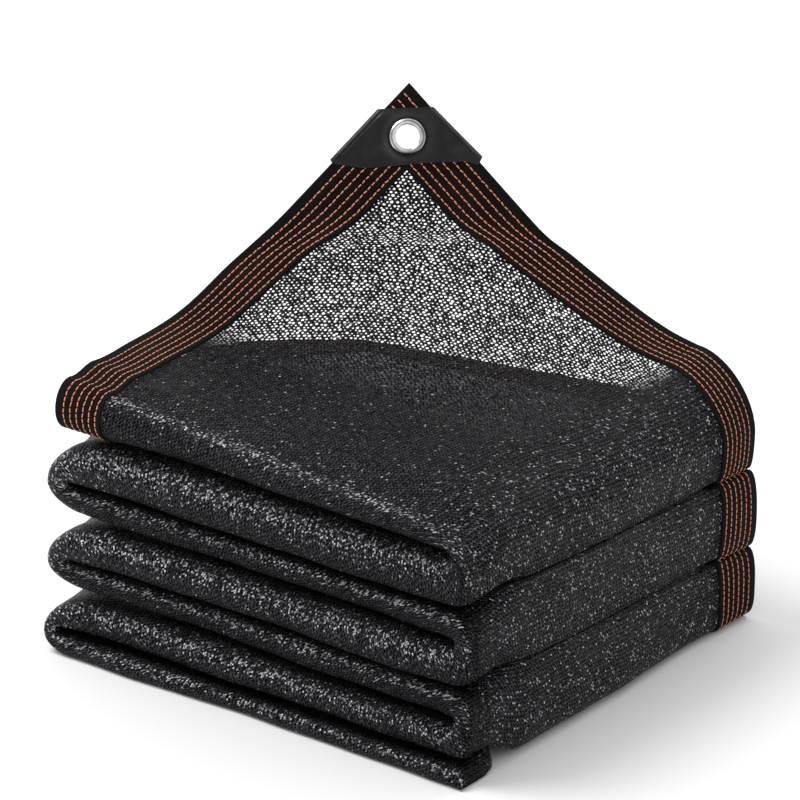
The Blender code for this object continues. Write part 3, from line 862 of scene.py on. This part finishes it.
def plastic_material():
    """Soft black plastic with a fine grain; painted highlights round the eyelet and along the folded slanted edges, and
    a painted contact shadow at the eyelet's edge.
    """
    g = Graph("patch_plastic", (0.014, 0.014, 0.016), 0.36)
    place = g.place()
    grain = g.noise(place, 1300.0, 3.0, 0.6)
    rub = g.noise(place, 55.0, 3.0, 0.6)
    base = g.mix(g.between(rub, 0.35, 0.75), (0.005, 0.005, 0.006), (0.016, 0.016, 0.018))
    # Painted highlight: a paler ring round the eyelet, strongest on its left.
    base = g.mix(g.math("MULTIPLY", g.attribute("painted_halo_highlight"), g.between(rub, 0.2, 0.8, 0.30, 0.70)), base, (0.060, 0.060, 0.066))
    # Painted highlight: a pale line along the folded slanted edges.
    base = g.mix(g.math("MULTIPLY", g.attribute("rim"), g.between(rub, 0.2, 0.7, 0.20, 0.60)), base, (0.085, 0.085, 0.092))
    # Painted shadow: a near-black contact line where the patch meets the eyelet.
    g.to("Base Color", g.mix(g.attribute("painted_contact_shadow"), base, (0.0012, 0.0012, 0.0014)))
    g.to("Roughness", g.between(rub, 0.3, 0.7, 0.27, 0.42))
    g.shader.inputs["Specular IOR Level"].default_value = 0.24
    g.to("Normal", g.bump(g.math("ADD", grain, g.math("MULTIPLY", rub, 1.5)), 0.00006, 0.6))
    return g.material


def metal_material():
    g = Graph("eyelet_metal", (0.80, 0.80, 0.82), 0.2)
    g.shader.inputs["Metallic"].default_value = 1.0
    place = g.place()
    haze = g.noise(place, 420.0, 3.0, 0.6)
    scratch = g.noise(place, 2600.0, 2.0, 0.6)
    # Painted reflection and shade: the colour is scaled by bands and a lighter side painted on the ring's vertices.
    g.to("Base Color", g.scaled(g.mix(haze, (0.70, 0.70, 0.72), (0.93, 0.93, 0.94)), g.attribute("painted_light")))
    g.to("Roughness", g.between(haze, 0.3, 0.7, 0.14, 0.30))
    g.to("Normal", g.bump(scratch, 0.00003, 0.5))
    return g.material


def floor_material():
    g = Graph("pale_floor", (0.86, 0.86, 0.87), 0.6)
    g.to("Base Color", g.mix(g.noise(g.place(), 3.0, 2.0), (0.90, 0.90, 0.905), (0.925, 0.925, 0.93)))
    g.shader.inputs["Specular IOR Level"].default_value = 0.2
    return g.material


# ---------------------------------------------------------------- the net

knit = knit_material()
net = make_object(
    "net_sheet",
    GRID.reshape(-1, 3),
    grid_faces(ROW_COUNT, STATION_COUNT, flip=False),
    knit,
    np.stack((ALONG, ACROSS), axis=2).reshape(-1, 2) * MM,
    extra={"open": OPENNESS, "painted_glints": PAINTED_GLINTS, "crevice": PAINTED_CREVICE_SHADE},
)

# ---------------------------------------------------------------- the bindings

binding = binding_material()
OVERHANG = 0.8
HALF_TAPE = 1.15


def tape_profile(share, ends=0.0):
    """Heights of the binding's outer and inner faces off the sheet's middle, at shares across it."""
    width = BINDING_WIDTH
    near = np.minimum(share, 1 - share) * width + OVERHANG * (share < 0.5)
    round_off = np.sqrt(np.clip(1 - (1 - np.clip(near / 1.1, 0, 1)) ** 2, 0, 1))
    puff = np.zeros_like(share)
    for place in THREAD_ROWS:
        puff -= 0.38 * np.exp(-(((share - place) * width / 0.9) ** 2))
    return (HALF_TAPE + 0.35 + puff) * round_off, -(HALF_TAPE + puff * 0.6) * round_off


ACROSS_SHARES = np.concatenate(
    (
        [-0.0],
        np.linspace(0.0, 0.03, 4)[1:],
        np.sort(np.concatenate([[p - 0.035, p, p + 0.035] for p in THREAD_ROWS] + [[0.10, 0.25, 0.397, 0.538, 0.678, 0.82, 0.945]])),
        np.linspace(0.97, 1.0, 4),
    )
)
ACROSS_SHARES = np.unique(np.round(ACROSS_SHARES, 4))


def slab(name, points, normals, edge_along, along_uv, shares, slot):
    """Closed strip of binding round the sheet. points and normals are [across share][station]; the first row is the
    sheet's own edge, and edge_along points out of it."""
    outer_h, inner_h = tape_profile(shares)
    count_r, count_c = points.shape[:2]
    cap = np.ones(count_c)
    points = points.copy()
    points[0] += edge_along * OVERHANG
    outer = points + normals * outer_h[:, None, None] * cap[None, :, None]
    inner = points + normals * inner_h[:, None, None] * cap[None, :, None]
    verts = np.concatenate((outer.reshape(-1, 3), inner.reshape(-1, 3)))
    offset = count_r * count_c
    faces = [grid_faces(count_r, count_c), grid_faces(count_r, count_c, offset, flip=True)]
    top = np.arange(count_c)
    bottom = (count_r - 1) * count_c + top
    left = np.arange(count_r) * count_c
    right = left + count_c - 1
    for ring, flip in ((top, True), (bottom, False), (left, False), (right, True)):
        strip = np.stack((ring[:-1], ring[1:], ring[1:] + offset, ring[:-1] + offset), axis=1)
        faces.append(strip[:, ::-1] if flip else strip)
    across_mm = np.repeat(shares[:, None] * BINDING_WIDTH, count_c, axis=1)
    uv = np.stack((along_uv, across_mm), axis=2).reshape(-1, 2) * MM
    made = make_object(name, verts, np.concatenate(faces), binding, np.concatenate((uv, uv)))
    fix = bmesh.new()
    fix.from_mesh(made.data)
    bmesh.ops.recalc_face_normals(fix, faces=fix.faces)
    fix.to_mesh(made.data)
    fix.free()
    return made


def arc(points):
    return np.concatenate(([0.0], np.cumsum(np.linalg.norm(np.diff(points, axis=0), axis=1))))


def side_binding(name, leaf_a):
    columns = np.arange(STATION_COUNT, dtype=float)
    depths = 1 - TAPE_SHARE * ACROSS_SHARES
    rows = row_of_depth(depths, leaf_a)
    points, normals = sample(*np.meshgrid(rows, columns, indexing="ij"))
    outward = points[0] - points[3]
    outward /= np.linalg.norm(outward, axis=1, keepdims=True)
    along = np.repeat(arc(points[len(rows) // 2])[None, :], len(rows), axis=0)
    return slab(name, points, normals, outward, along, ACROSS_SHARES, "side_binding")


tape_a = side_binding("side_binding_a_woven", True)
tape_b = side_binding("side_binding_b_woven", False)


def end_rows():
    start = row_of_depth(1 - TAPE_SHARE * 0.985, True)
    finish = row_of_depth(1 - TAPE_SHARE * 0.985, False)
    whole = np.arange(math.ceil(start), math.floor(finish) + 1)
    return np.concatenate(([start], whole, [finish]))


def end_binding():
    rows = end_rows()
    columns = ACROSS_SHARES * END_TAPE_SHARE * COVER_COUNT
    points, normals = sample(*np.meshgrid(rows, columns, indexing="ij"))
    points, normals = points.transpose(1, 0, 2), normals.transpose(1, 0, 2)
    outward = points[0] - points[3]
    outward /= np.linalg.norm(outward, axis=1, keepdims=True)
    along = np.repeat(arc(points[len(columns) // 2])[None, :], len(columns), axis=0)
    return slab("end_binding_woven", points, normals, outward, along, ACROSS_SHARES, "end_binding")


tape_end = end_binding()

# ---------------------------------------------------------------- the thread

thread = thread_material()


def stitch_shape():
    """One stitch as a closed dash: x along the row, y across it, z off the tape."""
    verts = [(-1.86, 0.0, 0.0)]
    for x, scale in ((-1.30, 1.0), (1.30, 1.0)):
        for k in range(5):
            angle = math.radians(90 + 72 * k)
            verts.append((x, 0.50 * scale * math.cos(angle), 0.22 + 0.36 * scale * math.sin(angle)))
    verts.append((1.86, 0.0, 0.0))
    faces = []
    for k in range(5):
        n = (k + 1) % 5
        faces.append((0, 1 + n, 1 + k))
        faces.append((1 + k, 1 + n, 6 + n))
        faces.append((1 + k, 6 + n, 6 + k))
        faces.append((6 + k, 6 + n, 11))
    return np.array(verts), np.array(faces)


STITCH_VERTS, STITCH_FACES = stitch_shape()


def stitches(name, lines, seed):
    """Stitches along lines, each (points, normals), at an even pitch and a little uneven."""
    random = np.random.default_rng(seed)
    all_verts, all_faces, total = [], [], 0
    for points, normals in lines:
        length = arc(points)
        count = int((length[-1] - 3.0) / STITCH_PITCH)
        middle = 2.2 + STITCH_PITCH * (np.arange(count) + 0.5) + random.normal(0, 0.08, count)

        def at(values, where):
            return np.stack([np.interp(where, length, values[:, k]) for k in range(3)], axis=1)

        centre, normal = at(points, middle), at(normals, middle)
        tangent = at(points, middle + 1.2) - at(points, middle - 1.2)
        tangent /= np.maximum(np.linalg.norm(tangent, axis=1, keepdims=True), 1e-9)
        normal /= np.linalg.norm(normal, axis=1, keepdims=True)
        side = np.cross(normal, tangent)
        side /= np.maximum(np.linalg.norm(side, axis=1, keepdims=True), 1e-9)
        swing = 0.10 * np.where(np.arange(count) % 2 == 0, 1, -1) + random.normal(0, 0.04, count)
        x = np.cos(swing)[:, None] * tangent + np.sin(swing)[:, None] * side
        y = np.cos(swing)[:, None] * side - np.sin(swing)[:, None] * tangent
        size = 1 + random.normal(0, 0.05, count)
        verts = (
            centre[:, None]
            + x[:, None] * (STITCH_VERTS[:, 0][None, :, None] * size[:, None, None])
            + y[:, None] * STITCH_VERTS[:, 1][None, :, None]
            + normal[:, None] * STITCH_VERTS[:, 2][None, :, None]
        )
        all_verts.append(verts.reshape(-1, 3))
        all_faces.append((STITCH_FACES[None] + (total + np.arange(count) * len(STITCH_VERTS))[:, None, None]).reshape(-1, 3))
        total += count * len(STITCH_VERTS)
    return make_object(name, np.concatenate(all_verts), np.concatenate(all_faces), thread)


def thread_height(share):
    return float(tape_profile(np.array([share]))[0][0]) + 0.05


def side_lines(leaf_a):
    columns = np.linspace(0, STATION_COUNT - 1, STATION_COUNT * 3)
    for share in THREAD_ROWS:
        rows = np.full_like(columns, row_of_depth(1 - TAPE_SHARE * share, leaf_a))
        points, normals = sample(rows, columns)
        yield points + normals * thread_height(share), normals


def end_lines():
    rows = np.linspace(end_rows()[0], end_rows()[-1], 900)
    for share in THREAD_ROWS:
        columns = np.full_like(rows, share * END_TAPE_SHARE * COVER_COUNT)
        points, normals = sample(rows, columns)
        yield points + normals * thread_height(share), normals


thread_a = stitches("thread_side_a", side_lines(True), 11)
thread_b = stitches("thread_side_b", side_lines(False), 12)
thread_end = stitches("thread_end", end_lines(), 13)

# ---------------------------------------------------------------- the corner patch and the eyelet

UP = -(PEAK_LEFT + PEAK_RIGHT)
UP /= np.linalg.norm(UP)
FACING = np.cross(PEAK_LEFT, PEAK_RIGHT)
FACING /= np.linalg.norm(FACING)
SIDEWAYS = np.cross(UP, FACING)

# across, down from the peak
PATCH_OUTLINE = (
    (-21.8, 18.6),
    (18.3, 16.4),
    (53.6, 51.2),
    (50.6, 57.6),
    (42.8, 54.8),
    (12.8, 56.5),
    (-11.1, 59.0),
    (-31.1, 60.8),
    (-53.0, 57.8),
    (-55.0, 55.0),
)
PATCH_SLANTS = (1, 9)
PATCH_FRONT = 3.25
PATCH_BACK = -1.95


def local_point(across, down, height):
    return PEAK + SIDEWAYS * across - UP * down + FACING * height


def segment_distance(point, a, b):
    ab, ap = b - a, point - a
    t = min(1.0, max(0.0, float(ap @ ab / (ab @ ab))))
    return float(np.linalg.norm(ap - ab * t))


def corner_patch():
    outline = [np.array(p, float) for p in PATCH_OUTLINE]
    count = len(outline)
    edges = [(outline[i], outline[(i + 1) % count]) for i in range(count)]
    border, inward = [], []
    for i, (a, b) in enumerate(edges):
        steps = max(2, round(float(np.linalg.norm(b - a)) / 1.0))
        normal = np.array((-(b - a)[1], (b - a)[0])) / np.linalg.norm(b - a)
        for k in range(steps):
            border.append(a + (b - a) * k / steps)
            inward.append(normal)
    centre = np.array((0.0, EYELET_DOWN))
    if (centre - border[0]) @ inward[0] < 0:
        inward = [-n for n in inward]

    def inside(point):
        hit = False
        for a, b in edges:
            if (a[1] > point[1]) != (b[1] > point[1]):
                if point[0] < (b[0] - a[0]) * (point[1] - a[1]) / (b[1] - a[1]) + a[0]:
                    hit = not hit
        return hit

    hole = 9.6
    ring = [centre + hole * np.array((math.cos(t), math.sin(t))) for t in np.linspace(0, 2 * math.pi, 49)[:-1]]
    points = list(border) + ring
    ring_edges = [(len(border) + i, len(border) + (i + 1) % len(ring)) for i in range(len(ring))]
    border_edges = [(i, (i + 1) % len(border)) for i in range(len(border))]

    def edge_distance(point):
        return min(segment_distance(point, a, b) for a, b in edges)

    for inset in (0.25, 0.6, 1.1, 1.8, 2.6, 3.1, 3.6, 4.2):
        for point, normal in zip(border, inward):
            moved = point + normal * inset
            if inside(moved) and abs(edge_distance(moved) - inset) < 0.08:
                points.append(moved)
    for radius in (10.4, 11.3, 12.3, 13.4, 14.6, 16.0):
        for t in np.linspace(0, 2 * math.pi, 65)[:-1]:
            points.append(centre + radius * np.array((math.cos(t), math.sin(t))))
    for i in range(-60, 61):
        for k in range(0, 50):
            point = np.array((i * 1.3 + (k % 2) * 0.65, 15 + k * 1.15))
            if inside(point) and edge_distance(point) > 5.0 and np.linalg.norm(point - centre) > 17.2:
                points.append(point)
    found = delaunay_2d_cdt([Vector(p) for p in points], border_edges + ring_edges, [], 1, 1e-5)
    flat = np.array([tuple(p) for p in found[0]])
    faces = []
    for face in found[2]:
        middle = flat[list(face)].mean(axis=0)
        if np.linalg.norm(middle - centre) > hole * 0.99 and inside(middle):
            faces.append(tuple(face))

    def shape(point):
        slant = min(segment_distance(point, *edges[i]) for i in PATCH_SLANTS)
        other = min(segment_distance(point, *edges[i]) for i in range(count) if i not in PATCH_SLANTS)
        rim = math.sqrt(max(0.0, 1 - (1 - min(1.0, slant / 2.2)) ** 2))
        pressed = 1 - 0.42 * (1 - smooth(other / 7.0))
        fold_line = -0.62 * math.exp(-(((slant - 3.5) / 0.60) ** 2)) + 0.34 * math.exp(-(((slant - 2.2) / 0.8) ** 2))
        radius = float(np.linalg.norm(point - centre))
        dish = -1.25 * math.exp(-(((radius - 12.5) / 5.0) ** 2)) + 0.35 * math.exp(-(((radius - 22.0) / 5.0) ** 2))
        wave = 0.22 * math.sin(point[0] / 6.5 + 0.6) * math.sin(point[1] / 7.5) + 0.12 * math.sin(point[0] / 2.9 + point[1] / 3.7)
        wave *= smooth((radius - 14) / 8)
        front = (PATCH_FRONT + fold_line + dish + wave) * pressed
        back = (PATCH_BACK - 0.6 * fold_line - 0.6 * dish - wave * 0.6) * (1 - 0.25 * (1 - smooth(other / 7.0)))
        front = 0.25 + (front - 0.25) * rim
        back = 0.05 + (back - 0.05) * rim
        return front, back

    # Painted light on the patch, per point: a highlight ring round the eyelet, lighter on its left; a highlight line
    # along the slanted edges; a contact shadow at the eyelet's edge.
    def painted_light(point):
        slant = min(segment_distance(point, *edges[i]) for i in PATCH_SLANTS)
        away = point - centre
        radius = float(np.linalg.norm(away))
        left = 0.5 - 0.5 * away[0] / max(radius, 1e-6)
        painted_halo_highlight = math.exp(-(((radius - 16.0) / 2.4) ** 2)) * (0.25 + 0.75 * left**2)
        return (
            painted_halo_highlight,
            math.exp(-(((slant - 1.9) / 0.40) ** 2)),
            math.exp(-(((radius - 13.3) / 1.1) ** 2)),
        )

    painted_lights = np.array([painted_light(p) for p in flat] * 2)
    heights = [shape(p) for p in flat]
    verts = [local_point(p[0], p[1], h[0]) for p, h in zip(flat, heights)]
    verts += [local_point(p[0], p[1], h[1]) for p, h in zip(flat, heights)]
    offset = len(flat)
    used = {}
    for face in faces:
        for a, b in zip(face, face[1:] + face[:1]):
            used[(a, b)] = used.get((a, b), 0) + 1
    walls = [(b, a, a + offset, b + offset) for (a, b) in used if (b, a) not in used]
    all_faces = faces + [tuple(i + offset for i in reversed(face)) for face in faces] + walls
    marks = {"painted_halo_highlight": painted_lights[:, 0], "rim": painted_lights[:, 1], "painted_contact_shadow": painted_lights[:, 2]}
    made = make_object("corner_patch_moulded", verts, all_faces, plastic_material(), extra=marks)
    fix = bmesh.new()
    fix.from_mesh(made.data)
    bmesh.ops.delete(fix, geom=[v for v in fix.verts if not v.link_faces], context="VERTS")
    bmesh.ops.recalc_face_normals(fix, faces=fix.faces)
    fix.to_mesh(made.data)
    fix.free()
    made.data.set_sharp_from_angle(angle=math.radians(50))
    return made


patch = corner_patch()


def eyelet():
    """Rolled metal ring: radius, height off the sheet's middle."""
    top, bottom = 3.45, -2.45
    section = [
        (EYELET_HOLE_R, top + 0.35),
        (EYELET_HOLE_R + 0.12, top + 0.95),
        (EYELET_HOLE_R + 0.45, top + 1.40),
        (EYELET_HOLE_R + 0.95, top + 1.66),
        (EYELET_HOLE_R + 1.55, top + 1.70),
        (EYELET_HOLE_R + 2.30, top + 1.55),
        (EYELET_HOLE_R + 3.10, top + 1.22),
        (EYELET_FLANGE_R - 0.55, top + 0.78),
        (EYELET_FLANGE_R - 0.12, top + 0.36),
        (EYELET_FLANGE_R, top - 0.02),
        (EYELET_FLANGE_R - 0.12, top - 0.38),
        (EYELET_FLANGE_R - 0.50, top - 0.50),
        (EYELET_HOLE_R + 0.95, top - 0.45),
        (EYELET_HOLE_R + 0.85, top - 0.80),
        (EYELET_HOLE_R + 0.85, bottom + 0.60),
        (EYELET_HOLE_R + 1.10, bottom + 0.30),
        (EYELET_FLANGE_R - 0.55, bottom + 0.20),
        (EYELET_FLANGE_R - 0.25, bottom - 0.10),
        (EYELET_FLANGE_R - 0.45, bottom - 0.42),
        (EYELET_HOLE_R + 2.20, bottom - 0.90),
        (EYELET_HOLE_R + 1.00, bottom - 1.02),
        (EYELET_HOLE_R + 0.35, bottom - 0.82),
        (EYELET_HOLE_R + 0.05, bottom - 0.35),
        (EYELET_HOLE_R, bottom + 0.30),
    ]
    count = 96
    verts = []
    for k in range(count):
        angle = 2 * math.pi * k / count
        for radius, height in section:
            verts.append(local_point(radius * math.cos(angle), EYELET_DOWN + radius * math.sin(angle), height))
    faces = []
    size = len(section)
    for k in range(count):
        n = (k + 1) % count
        for i in range(size):
            j = (i + 1) % size
            faces.append((k * size + i, k * size + j, n * size + j, n * size + i))
    # Painted reflection and shade on each ring of the section, from the bore over the crest to the edge: dark bands
    # between bright crests, with one side of the ring painted lighter.
    painted_bands = np.array([0.40, 0.60, 0.90, 1.0, 1.0, 0.42, 0.30, 0.95, 1.0, 0.80, 0.40] + [0.45] * (size - 11))
    turn = 2 * np.pi * np.arange(count) / count
    around = 0.88 + 0.22 * np.cos(turn - 3.6) + 0.14 * np.sin(5 * turn + 0.7) * np.cos(2 * turn)
    painted_lights = np.clip(painted_bands[None, :] * around[:, None], 0.05, 1.0)
    made = make_object("eyelet_rolled", verts, faces, metal_material(), extra={"painted_light": painted_lights})
    fix = bmesh.new()
    fix.from_mesh(made.data)
    bmesh.ops.recalc_face_normals(fix, faces=fix.faces)
    fix.to_mesh(made.data)
    fix.free()
    made.data.set_sharp_from_angle(angle=math.radians(55))
    return made


ring = eyelet()


def clear_hole(piece):
    """Takes the piece's faces out of the eyelet's bore."""
    mesh = bmesh.new()
    mesh.from_mesh(piece.data)
    centre = local_point(0, EYELET_DOWN, 0)
    inside = []
    for vert in mesh.verts:
        place = np.array(vert.co) / MM - SHIFT - centre
        height = place @ FACING
        if abs(height) < 8 and np.linalg.norm(place - FACING * height) < 10.6:
            inside.append(vert)
    bmesh.ops.delete(mesh, geom=inside, context="VERTS")
    mesh.to_mesh(piece.data)
    mesh.free()


for piece in (net, tape_a, thread_a, thread_end, tape_end):
    clear_hole(piece)

# ---------------------------------------------------------------- floor, light and camera

floor_mesh = bpy.data.meshes.new("floor")
floor_mesh.from_pydata([(-6, -4, 0), (6, -4, 0), (6, 8, 0), (-6, 8, 0)], [], [(0, 1, 2, 3)])
floor_mesh.materials.append(floor_material())
floor = bpy.data.objects.new("floor", floor_mesh)
bpy.context.scene.collection.objects.link(floor)

world = bpy.data.worlds.new("studio")
world.use_nodes = True
world.node_tree.nodes["Background"].inputs[0].default_value = (1.0, 1.0, 1.0, 1)
world.node_tree.nodes["Background"].inputs[1].default_value = 0.82
bpy.context.scene.world = world


def area_light(name, place, target, size, power, colour=(1, 1, 1)):
    data = bpy.data.lights.new(name, "AREA")
    data.shape = "DISK"
    data.size = size
    data.energy = power
    data.color = colour
    made = bpy.data.objects.new(name, data)
    made.location = place
    made.rotation_euler = (Vector(target) - Vector(place)).to_track_quat("-Z", "Y").to_euler()
    bpy.context.scene.collection.objects.link(made)
    return made


area_light("key", (-0.95, -0.62, 1.95), (0, 0, 0.12), 1.35, 31.0)
area_light("rim", (0.2, 1.6, 1.6), (0, 0, 0.15), 1.0, 8.0)

bpy.context.scene.view_settings.view_transform = "Standard"

camera_data = bpy.data.cameras.new("photo_angle")
camera_data.lens = 225.0
camera_data.sensor_width = 36.0
camera_data.clip_end = 50.0
camera = bpy.data.objects.new("photo_angle", camera_data)
bpy.context.scene.collection.objects.link(camera)
eye = Vector((1.96511, -2.61453, 1.45759))
aim = Vector((0.00495, -0.00955, 0.1841))
camera.location = eye
camera.rotation_euler = (aim - eye).to_track_quat("-Z", "Y").to_euler()
bpy.context.scene.camera = camera

# ---------------------------------------------------------------- riding on the root body, with the imported solids hidden

for piece, node in (
    (net, "net_cloth"),
    (tape_a, "side_binding_a"),
    (tape_b, "side_binding_b"),
    (tape_end, "end_binding"),
    (patch, "corner_patch"),
    (ring, "eyelet_ring"),
):
    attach(piece, "root")
    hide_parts(node)
for piece in (thread_a, thread_b, thread_end):
    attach(piece, "root")
